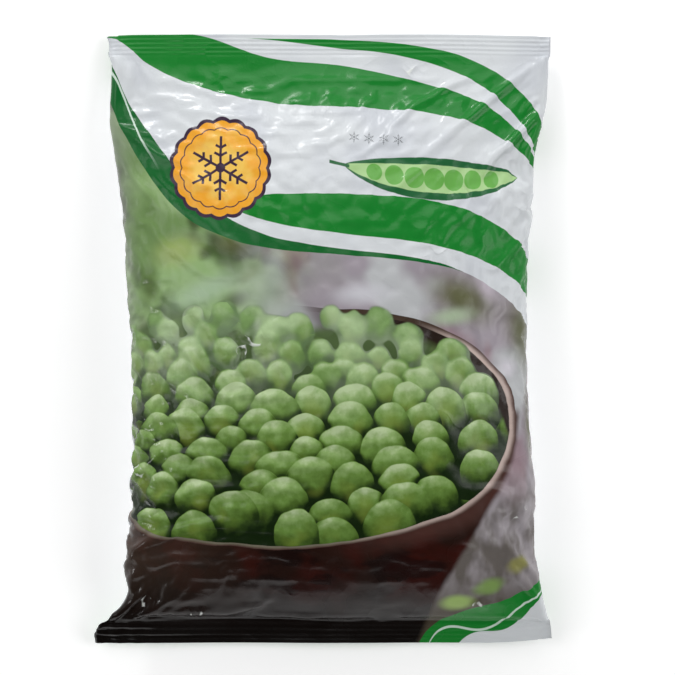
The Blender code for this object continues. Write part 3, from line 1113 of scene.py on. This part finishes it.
# %% [markdown]
# Peas at the back are out of focus, and a pale haze does as much for that as the soft edges
# of their stamps do. The gaps between them are hazy too, but in a darker green.

# %% Haze over the back of the heap
HAZE, LIGHT_HAZE, HAZY_GAP = ink(134, 166, 112), ink(196, 218, 178), ink(96, 118, 74)
MOST_HAZE, MOST_GAP_HAZE = 0.58, 0.84
HEAP_EDGE = 0.009  # the heap's dark inside ends this far below the tops of its peas

on_near_pea = fade(tone, DEEP_TONE, -TONE_SPREAD - 0.05)
heap_top = minus(curve(HEAP_OUTLINE, x), HEAP_EDGE)
in_any_pea = calc("MAXIMUM", on_near_pea, below(heap_top, y, soft=0.006))
most_haze = fade(on_near_pea, 0, 1, MOST_GAP_HAZE, MOST_HAZE)
hazy = paint(HAZE, LIGHT_HAZE, fade(noise(where, 0.020, spot=80.0), 0.38, 0.62))
hazy = paint(HAZY_GAP, hazy, on_near_pea)
pea_colour = paint(pea_colour, hazy, times(fade(y, -0.045, 0.020), most_haze))
print(f"haze: {len(sheet.nodes)} nodes so far")

# %% [markdown]
# Now the picture is put together from back to front: background, cloth and wall, the bowl's
# inside, its rim, and the peas. The rim is darker towards its outer edge, where it turns
# down, and darkest at the back, where the light comes from behind it.

# %% Bowl, rim and peas in one picture
BOWL_INSIDE, RIM_LIGHT, RIM_DARK = ink(36, 24, 18), ink(190, 170, 162), ink(120, 114, 98)
RIM_EDGE, RIM_BACK = ink(84, 62, 56), ink(66, 52, 42)

rim_colour = paint(RIM_DARK, RIM_LIGHT, rightness)
outer_share = calc("DIVIDE", minus(1.0, bowl_share), rim_width)
rim_colour = paint(RIM_EDGE, rim_colour, fade(outer_share, 0.1, 0.75))
rim_colour = paint(rim_colour, RIM_BACK, fade(direction, 0.024, 0.044))
picture = paint(front_of_bowl, BOWL_INSIDE, times(in_bowl, fade(x, -0.02, 0.01)))
picture = paint(picture, rim_colour, times(in_bowl, on_rim))
# The front wall hides what is below its rim, but nothing hides the peas at the back.
above_wall = times(in_bowl, below(0.5, on_rim))
not_hidden = calc("MAXIMUM", above_wall, fade(y, -0.045, -0.035))
picture = paint(picture, pea_colour, times(in_any_pea, not_hidden))
print(f"picture: {len(sheet.nodes)} nodes so far")

# %% [markdown]
# ## The header
#
# The top of the bag is white with sweeping green stripes, a common dress for frozen greens.
# Each stripe has a lower and an upper curve over the panel's width. The picture starts below
# the lowest stripe. A thin pale line runs along the left part of that stripe.

# %% White header and green stripes
WHITE_FILM, SHADED_WHITE_FILM = ink(213, 217, 220), ink(202, 206, 212)
GREEN, DEEP_GREEN, PALE_STRIPE = ink(24, 126, 44), ink(18, 98, 42), ink(200, 220, 206)
PICTURE_TOP = [(-120, 130), (-103, 113), (-96, 101), (-88, 86), (-70, 60), (-50, 48), (-25, 42),
               (6, 38), (40, 34.5), (62, 29.5), (80, 20), (95, 9), (108, -4), (120, -16)]
SWEEP_LOW = [(-120, 126), (-103, 107), (-96, 93), (-88, 79), (-68, 55), (-47, 44), (-28, 39.5),
             (6, 36.5), (40, 33.5), (62, 29), (120, 0)]
SWEEP_HIGH = [(-120, 146), (-103, 125), (-96, 111), (-87, 98), (-79, 87), (-66, 69), (-52, 57),
              (-30, 46), (-12, 42), (6, 39.5), (40, 35.5), (58, 31), (120, -6)]
SHINE_LOW = [(-120, 130), (-103, 120), (-97, 110), (-84, 83), (-70, 66), (120, 66)]
TOP_LOW = [(-120, 142), (-102, 138), (-84, 125), (-60, 114.5), (-25, 107), (20, 104.5),
           (52, 101), (76, 94), (96, 83), (120, 64)]
TOP_HIGH = [(-120, 142), (-98, 141), (-62, 138.5), (-32, 129), (8, 124.5), (44, 116.5),
            (74, 106), (97, 89), (120, 66)]
OUTER_LOW = [(-120, 138), (-34, 136.5), (6, 132), (32, 129), (52, 124), (70, 116),
             (86, 104), (100, 89), (120, 66)]
OUTER_HIGH = [(-120, 138), (-34, 137), (16, 136), (46, 132.5), (70, 126), (88, 115),
              (103, 99), (120, 80)]
INNER_LOW = [(-120, 62), (-52, 60), (-36, 54), (-18, 49.5), (8, 46), (46, 41.5), (66, 36.5),
             (82, 30), (98, 20), (120, 4)]
INNER_HIGH = [(-120, 62), (-52, 61), (-38, 63), (-14, 64.5), (20, 64), (50, 61), (72, 54.5),
              (90, 45), (106, 33), (120, 20)]
SHINE_WIDTH, SHINE_END = 0.0022, -0.078  # the pale line's width, and the x where it ends

# Soft grey blotches over the white film are painted shade, as of uneven light on the header.
header = paint(WHITE_FILM, SHADED_WHITE_FILM, fade(noise(where, 0.05, spot=50.0), 0.45, 0.7))
front_print = paint(header, picture, below(curve(PICTURE_TOP, x), y))
for low_edge, high_edge, colour in (
    (SWEEP_LOW, SWEEP_HIGH, DEEP_GREEN),
    (TOP_LOW, TOP_HIGH, GREEN),
    (OUTER_LOW, OUTER_HIGH, GREEN),
    (INNER_LOW, INNER_HIGH, GREEN),
):
    front_print = paint(front_print, colour, between(curve(low_edge, x), curve(high_edge, x)))
shine_low = curve(SHINE_LOW, x)
shine = between(shine_low, total(shine_low, SHINE_WIDTH))
shine = times(shine, below(SHINE_END, x, soft=0.012))
front_print = paint(front_print, PALE_STRIPE, shine)
print(f"header: {len(sheet.nodes)} nodes so far")

# %% [markdown]
# The lower right corner has a green stripe too, with a pale line in it and bare film below.

# %% Stripe at the corner
CORNER_TOP = [(-120, -150), (36, -148), (47, -132), (65, -122.5), (84, -117), (103, -108),
              (120, -98)]
CORNER_LINE = [(-120, -150), (40, -150), (52, -132), (74, -131), (92, -119.5), (120, -104)]
CORNER_FOOT = [(-120, -150), (50, -150), (66, -134.5), (84, -131.5), (102, -116), (120, -106)]
LINE_WIDTH = 0.0014

corner_line = curve(CORNER_LINE, x)
front_print = paint(front_print, GREEN, below(curve(CORNER_TOP, x), y))
pale_line = between(minus(corner_line, LINE_WIDTH), corner_line)
front_print = paint(front_print, PALE_STRIPE, pale_line)
front_print = paint(front_print, WHITE_FILM, below(curve(CORNER_FOOT, x), y))
print(f"corner: pale line {1000 * LINE_WIDTH:.1f} mm wide")

# %% [markdown]
# ## Rosette, pod and crystals
#
# Three plain ornaments fill the header: a golden rosette with a snow crystal, a pea pod, and
# a row of small crystals. A snow crystal has six equal arms, so the angle round its middle is
# folded into one twelfth of a turn with Ping-Pong, and only half an arm has to be drawn.

# %% A node group for a snow crystal
ARM_WIDTH = 0.050  # in the crystal's own radii
BRANCHES = ((0.36, 0.24), (0.62, 0.20))  # where on the arm, and how long
BRANCH_ANGLE = math.radians(60)
HUB = 0.16
CRISP = 0.02  # width of its edges

crystal = bpy.data.node_groups.new("snow_crystal", "ShaderNodeTree")
crystal.interface.new_socket("Place", in_out="INPUT", socket_type="NodeSocketVector")
crystal.interface.new_socket("Mask", in_out="OUTPUT", socket_type="NodeSocketFloat")
sheet = crystal
in_crystal = crystal.nodes.new("NodeGroupInput").outputs[0]
away = length_of(in_crystal)
sideways, upwards, _ = parts_of(in_crystal)
turned = calc("PINGPONG", calc("ARCTAN2", sideways, upwards), math.pi / 6)
along = times(away, calc("COSINE", turned))
aside = times(away, calc("SINE", turned))
mask = times(between(-1.0, ARM_WIDTH, aside, CRISP), below(1.0, along, CRISP))
lean, rise = math.cos(BRANCH_ANGLE), math.sin(BRANCH_ANGLE)
for start, length in BRANCHES:
    ahead = minus(along, start)
    down_branch = total(times(ahead, lean), times(aside, rise))
    off_branch = minus(times(ahead, rise), times(aside, lean))
    narrow = between(-ARM_WIDTH, ARM_WIDTH, off_branch, CRISP)
    branch = times(narrow, between(0.0, length, down_branch, CRISP))
    mask = calc("MAXIMUM", mask, branch)
mask = calc("MAXIMUM", mask, below(HUB, away, CRISP))
crystal.links.new(mask, crystal.nodes.new("NodeGroupOutput").inputs[0])
sheet = film.node_tree
print(f"snow_crystal: {len(crystal.nodes)} nodes")


def snow(middle, radius):
    """A mask for a snow crystal, in mm."""
    use = sheet.nodes.new("ShaderNodeGroup")
    use.node_tree = crystal
    sheet.links.new(seen_from(middle, (radius, radius)), use.inputs[0])
    return use.outputs[0]


# %% [markdown]
# The rosette is a disc whose radius goes up and down with the angle, and its ring and outline
# are the same disc again, drawn smaller or larger.

# %% Golden rosette
GOLD, LIGHT_GOLD, DARK_INK = ink(236, 164, 44), ink(240, 196, 92), ink(58, 40, 62)
ROSETTE_MIDDLE, ROSETTE_RADIUS, ROSETTE_CRYSTAL = (-50, 76), 22.5, 15.0
SCALLOPS, SCALLOP_DEPTH = 18, 0.050

in_rosette = seen_from(ROSETTE_MIDDLE, (ROSETTE_RADIUS, ROSETTE_RADIUS))
sideways, upwards, _ = parts_of(in_rosette)
angle = calc("ARCTAN2", upwards, sideways)
bulge = calc("ABSOLUTE", calc("SINE", times(angle, SCALLOPS / 2)))
reach = total(1.0 - SCALLOP_DEPTH, times(bulge, SCALLOP_DEPTH))
away = length_of(in_rosette)
rosette = calc("DIVIDE", away, reach)
gold = paint(LIGHT_GOLD, GOLD, fade(total(away, noise(where, 0.01, spot=60.0)), 0.9, 1.35))
for size, colour in (
    (1.075, DARK_INK),  # the outline
    (1.0, gold),
    (0.86, DARK_INK),  # a thin ring
    (0.835, gold),
):
    front_print = paint(front_print, colour, below(size, rosette, soft=0.012))
front_print = paint(front_print, DARK_INK, snow(ROSETTE_MIDDLE, ROSETTE_CRYSTAL))
print(f"rosette: {SCALLOPS} scallops, {2 * ROSETTE_RADIUS:.0f} mm wide")

# %% [markdown]
# A pod is a lens: thick in the middle and pointed at its ends. An inner, paler lens is the
# open side, and the peas in it come from one round spot repeated along the pod.

# %% Pea pod
POD_MIDDLE, POD_HALF, POD_TURN, POD_BOW = (50, 71), 43.0, -3.0, 0.10
POD_THICK, OPEN_THICK = 0.225, 0.150  # half heights, as shares of half the length
POD_TAPER, POD_SOFT = 0.75, 0.008
PEA_COUNT, PEA_ROW, PEA_SIZE, PEA_TAPER = 7, 1.56, 0.118, 0.6  # the row's length and a radius
STALK_HALF, STALK_FROM, STALK_TO = 0.022, -1.16, -0.93
POD_GREEN, POD_OPEN, POD_PEA = ink(36, 98, 56), ink(168, 204, 142), ink(104, 170, 78)

down_pod, off_pod, _ = parts_of(seen_from(POD_MIDDLE, (POD_HALF, POD_HALF), POD_TURN))
squared = times(down_pod, down_pod)
off_pod = minus(off_pod, times(squared, POD_BOW))
taper = calc("POWER", calc("MAXIMUM", minus(1.0, squared), 0.0), POD_TAPER)
off_line = calc("ABSOLUTE", off_pod)
for thick, colour in ((POD_THICK, POD_GREEN), (OPEN_THICK, POD_OPEN)):
    front_print = paint(front_print, colour, below(times(taper, thick), off_line, POD_SOFT))
cell = PEA_ROW / PEA_COUNT
cells_along = total(calc("DIVIDE", down_pod, cell), 0.5)
in_cell = times(minus(calc("FRACT", cells_along), 0.5), cell)
from_pea = length_of(add("ShaderNodeCombineXYZ", in_cell, off_pod))
pea_size = times(calc("POWER", taper, PEA_TAPER), PEA_SIZE)
in_row = below(PEA_ROW / 2, calc("ABSOLUTE", down_pod), soft=0.01)
one_pea = times(below(pea_size, from_pea, POD_SOFT), in_row)
front_print = paint(front_print, POD_PEA, one_pea)
stalk = between(STALK_FROM, STALK_TO, down_pod, soft=0.01)
stalk = times(below(STALK_HALF, off_line, POD_SOFT), stalk)
front_print = paint(front_print, POD_GREEN, stalk)
print(f"pod: {PEA_COUNT} peas, {2 * POD_HALF:.0f} mm long")

# %% [markdown]
# A row of small crystals stands over the pod, each a little lower than the one before it, so
# that the row follows the stripes.

# %% Row of small crystals
GREY_INK = ink(120, 124, 128)
CRYSTALS, CRYSTAL_RADIUS = 4, 2.7
FIRST_CRYSTAL, CRYSTAL_STEP = (12.0, 90.5), (7.0, -0.4)

for number in range(CRYSTALS):
    middle = [start + number * step for start, step in zip(FIRST_CRYSTAL, CRYSTAL_STEP)]
    front_print = paint(front_print, GREY_INK, snow(middle, CRYSTAL_RADIUS))
print(f"front: {len(sheet.nodes)} nodes so far")

# %% [markdown]
# ## The back, and the whole film
#
# Past the two side folds the film is white, with stripes that carry on from the front's, and
# a bare panel with a thin green frame. Here x has to start again at the back's own middle.

# %% Back of the bag
BACK_LOW = [(-120, 66), (-100, 82), (-60, 100), (0, 112), (60, 116), (120, 117)]
BACK_HIGH = [(-120, 88), (-100, 99), (-60, 117), (0, 130), (60, 137), (120, 141)]
WEDGE_LOW = [(-120, 12), (-100, 19), (-60, 34), (0, 46), (50, 50), (120, 50)]
WEDGE_HIGH = [(-120, 26), (-100, 36), (-60, 47), (0, 52), (50, 50), (120, 50)]
FOOT_LOW = [(-120, -130), (-60, -136), (0, -141), (120, -150)]
FOOT_HIGH = [(-120, -106), (-60, -116), (0, -124), (120, -132)]
FRAME_MIDDLE, FRAME_HALF, FRAME_ROUND, FRAME_LINE = (0, -36), (72, 58), 9, 1.1  # mm
PAST_FOLD = 0.0006  # how far the front's print goes on past the side folds

back_x = minus(x, times(calc("SIGN", x), PANEL_WIDTH))
back_print = WHITE_FILM
for low_edge, high_edge in ((BACK_LOW, BACK_HIGH), (WEDGE_LOW, WEDGE_HIGH), (FOOT_LOW, FOOT_HIGH)):
    back_stripe = between(curve(low_edge, back_x), curve(high_edge, back_x))
    back_print = paint(back_print, GREEN, back_stripe)
beyond = []
for value, middle, half in zip((back_x, y), FRAME_MIDDLE, FRAME_HALF):
    off_middle = calc("ABSOLUTE", minus(value, middle / 1000))
    beyond.append(calc("MAXIMUM", minus(off_middle, (half - FRAME_ROUND) / 1000), 0.0))
to_frame = length_of(add("ShaderNodeCombineXYZ", *beyond))
frame_line = between((FRAME_ROUND - FRAME_LINE) / 1000, FRAME_ROUND / 1000, to_frame)
back_print = paint(back_print, GREEN, frame_line)
on_front = below(HALF_PANEL + PAST_FOLD, calc("ABSOLUTE", x))
printed = paint(back_print, front_print, on_front)
print(f"whole print: {len(sheet.nodes)} nodes")

# %% [markdown]
# ## Crumpled spots
#
# The pinched spots get finer creases than the mesh can hold. Ridged noise is sharp along
# lines and smooth between them, and it counts only close to these spots. The sharpest lines
# get a pale ink: painted glints, as a lamp would give on them, and partly the whitening that
# printed film shows where it is creased hard.

# %% Fine creases, with painted glints
CRUMPLED = [((-36, -4), (16, 10), 20), ((52, 40), (7, 5), 0), ((-4, 104), (7, 5), 30),
            ((38, 122), (9, 5), 0), ((88, -78), (9, 7), 40), ((30, -70), (5, 4), 0),
            ((-90, -123), (13, 7), 0), ((-62, -126), (10, 4), 0), ((70, -120), (8, 4), 0),
            ((94, 62), (8, 10), 0), ((-92, -62), (7, 10), 0)]  # middle, half sizes and turn
# A pale ink for painted glints on the creases, partly the stress whitening of creased ink.
GLINT_AND_STRESS_WHITE, MOST_GLINT_AND_STRESS_WHITE = ink(232, 236, 232), 0.75


def creases(place, size, detail):
    """Random heights, about 1 along sharp lines and less between them."""
    return add("ShaderNodeTexNoise", place, None, 1 / size, detail, 0.5, None, 1.0, 1.0,
               noise_dimensions="2D", noise_type="RIDGED_MULTIFRACTAL")


crumpled = 0.0
for middle, radii, turn in CRUMPLED:
    crumpled = calc("MAXIMUM", crumpled, disc(middle, radii, turn, soft=0.9))
crumpled = times(crumpled, creases(where, 0.0075, 1.0))
# The sharpest crease lines get painted glints, partly the stress whitening of creased ink.
printed = paint(printed, GLINT_AND_STRESS_WHITE, fade(crumpled, 0.92, 1.25, 0.0, MOST_GLINT_AND_STRESS_WHITE))
print(f"{len(CRUMPLED)} crumpled spots, {len(sheet.nodes)} nodes so far")

# %% [markdown]
# ## The film's finish
#
# Printed film is glossy, but not like glass: it has a fine grain and is full of tiny soft
# creases that are too small for the mesh. The larger wrinkles are real geometry, so the bump
# here only has to break up the reflections.

# %% Gloss, small creases and grain
LEAST_ROUGH, MOST_ROUGH = 0.18, 0.28
FILM_IOR = 1.31  # an even gloss, weaker than that of bare plastic
FINE_CREASE_DEPTH = 0.00014
CRUMPLE_DEPTH = 0.00050
GRAIN_DEPTH = 0.00002

fine_creases = times(creases(where, 0.018, 3.0), FINE_CREASE_DEPTH)
grain = times(noise(where, 0.0012, 1.0), GRAIN_DEPTH)
relief = total(fine_creases, times(crumpled, CRUMPLE_DEPTH), grain)
bumped = add("ShaderNodeBump", 1.0, 1.0)
sheet.links.new(relief, bumped.node.inputs["Height"])
roughness = fade(noise(where, 0.03, spot=70.0), 0.3, 0.7, LEAST_ROUGH, MOST_ROUGH)
surface = sheet.nodes["Principled BSDF"].inputs
sheet.links.new(printed, surface["Base Color"])
sheet.links.new(bumped, surface["Normal"])
sheet.links.new(roughness, surface["Roughness"])
surface["IOR"].default_value = FILM_IOR
for piece in (film_bag, fin_seal):
    piece.data.materials.append(film)
    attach(piece, "root")
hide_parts("bag")
print(f"{film.name}: {len(sheet.nodes)} nodes")

# %% [markdown]
# ## Floor
#
# The bag lies on a plain white table. A little light of the table's own keeps it as white
# round the bag as it is further away.

# %% White table
TABLE_SIDE = 6.0
TABLE_WHITE, TABLE_ROUGH, TABLE_GLOW = (0.94, 0.94, 0.94, 1.0), 0.9, 0.30

reach = TABLE_SIDE / 2
corners = [(-reach, -reach, 0), (reach, -reach, 0), (reach, reach, 0), (-reach, reach, 0)]
floor_mesh = bpy.data.meshes.new("floor")
floor_mesh.from_pydata(corners, [], [(0, 1, 2, 3)])
floor = bpy.data.objects.new("floor", floor_mesh)
bpy.context.scene.collection.objects.link(floor)
table = bpy.data.materials.new("white_table")
table.use_nodes = True
surface = table.node_tree.nodes["Principled BSDF"].inputs
surface["Base Color"].default_value = TABLE_WHITE
surface["Roughness"].default_value = TABLE_ROUGH
surface["Emission Color"].default_value = (1, 1, 1, 1)
surface["Emission Strength"].default_value = TABLE_GLOW
floor.data.materials.append(table)
print(f"table: {TABLE_SIDE:.0f} m square")

# %% [markdown]
# ## Light
#
# Soft light has to come from the sides, because a light near the camera would be mirrored in
# the film and wash the print out. One softbox only lights and isn't mirrored. Two small
# lamps, low in the room, are mirrored only by steep creases, as bright glints.

# %% Softboxes and lamps
LIGHTS = [  # name, place, size in m, power in W, and whether the film mirrors it
    ("left_softbox", (-1.05, 0.5, 1.6), 1.1, 9.5, True),
    ("right_softbox", (1.5, 0.2, 1.4), 1.1, 12, True),
    ("top_softbox", (0.1, 1.7, 1.2), 1.1, 7.5, True),
    ("near_softbox", (0.6, -1.6, 0.45), 1.0, 8, False),
    ("far_lamp", (-0.35, 1.5, 0.50), 0.20, 6, True),
    ("left_lamp", (-1.3, -0.4, 0.46), 0.16, 2, True),
]

for name, place, size, power, mirrored in LIGHTS:
    light = bpy.data.lights.new(name, "AREA")
    light.size = size
    light.energy = power
    softbox = bpy.data.objects.new(name, light)
    softbox.location = place
    softbox.rotation_euler = (-Vector(place)).to_track_quat("-Z", "Y").to_euler()
    softbox.visible_glossy = mirrored
    bpy.context.scene.collection.objects.link(softbox)
print(f"{len(LIGHTS)} lights")

# %% [markdown]
# The world fills the shadows with even light, and it is what the film mirrors between the
# lamps. So it is darker overhead and on the near side, or else it would lie as a grey veil
# over the dark parts of the print.

# %% Room light
WALL_LIGHT, CEILING_LIGHT = 0.76, 0.10
NEAR_SIDE = 0.10

world = bpy.data.worlds.new("studio")
bpy.context.scene.world = world
world.use_nodes = True
sheet = world.node_tree
looking = add("ShaderNodeTexCoord")
_, northwards, upwards = parts_of(looking)
room_light = fade(upwards, 0.28, 0.85, WALL_LIGHT, CEILING_LIGHT)
room_light = times(room_light, fade(northwards, -0.8, 0.2, NEAR_SIDE, 1.0))
sheet.links.new(room_light, sheet.nodes["Background"].inputs["Strength"])
sheet.nodes["Background"].inputs["Color"].default_value = (1, 1, 1, 1)
print(f"room light from {CEILING_LIGHT * NEAR_SIDE:.2f} to {WALL_LIGHT:.2f}")

# %% [markdown]
# ## Camera
#
# The camera looks straight down. It is well above the bag and has a long lens, because from
# close by the raised middle would look too large beside the flat ends.

# %% Camera over the bag
CAMERA_PLACE = (0.00636, 0.0005, 1.25)
LENS, SENSOR = 144.3, 36

camera_data = bpy.data.cameras.new("camera")
camera_data.sensor_width = SENSOR
camera_data.lens = LENS
camera = bpy.data.objects.new("camera", camera_data)
camera.location = CAMERA_PLACE
bpy.context.scene.collection.objects.link(camera)
bpy.context.scene.camera = camera
bpy.context.scene.view_settings.view_transform = "Standard"
print(f"camera {CAMERA_PLACE[2]:.2f} m up")
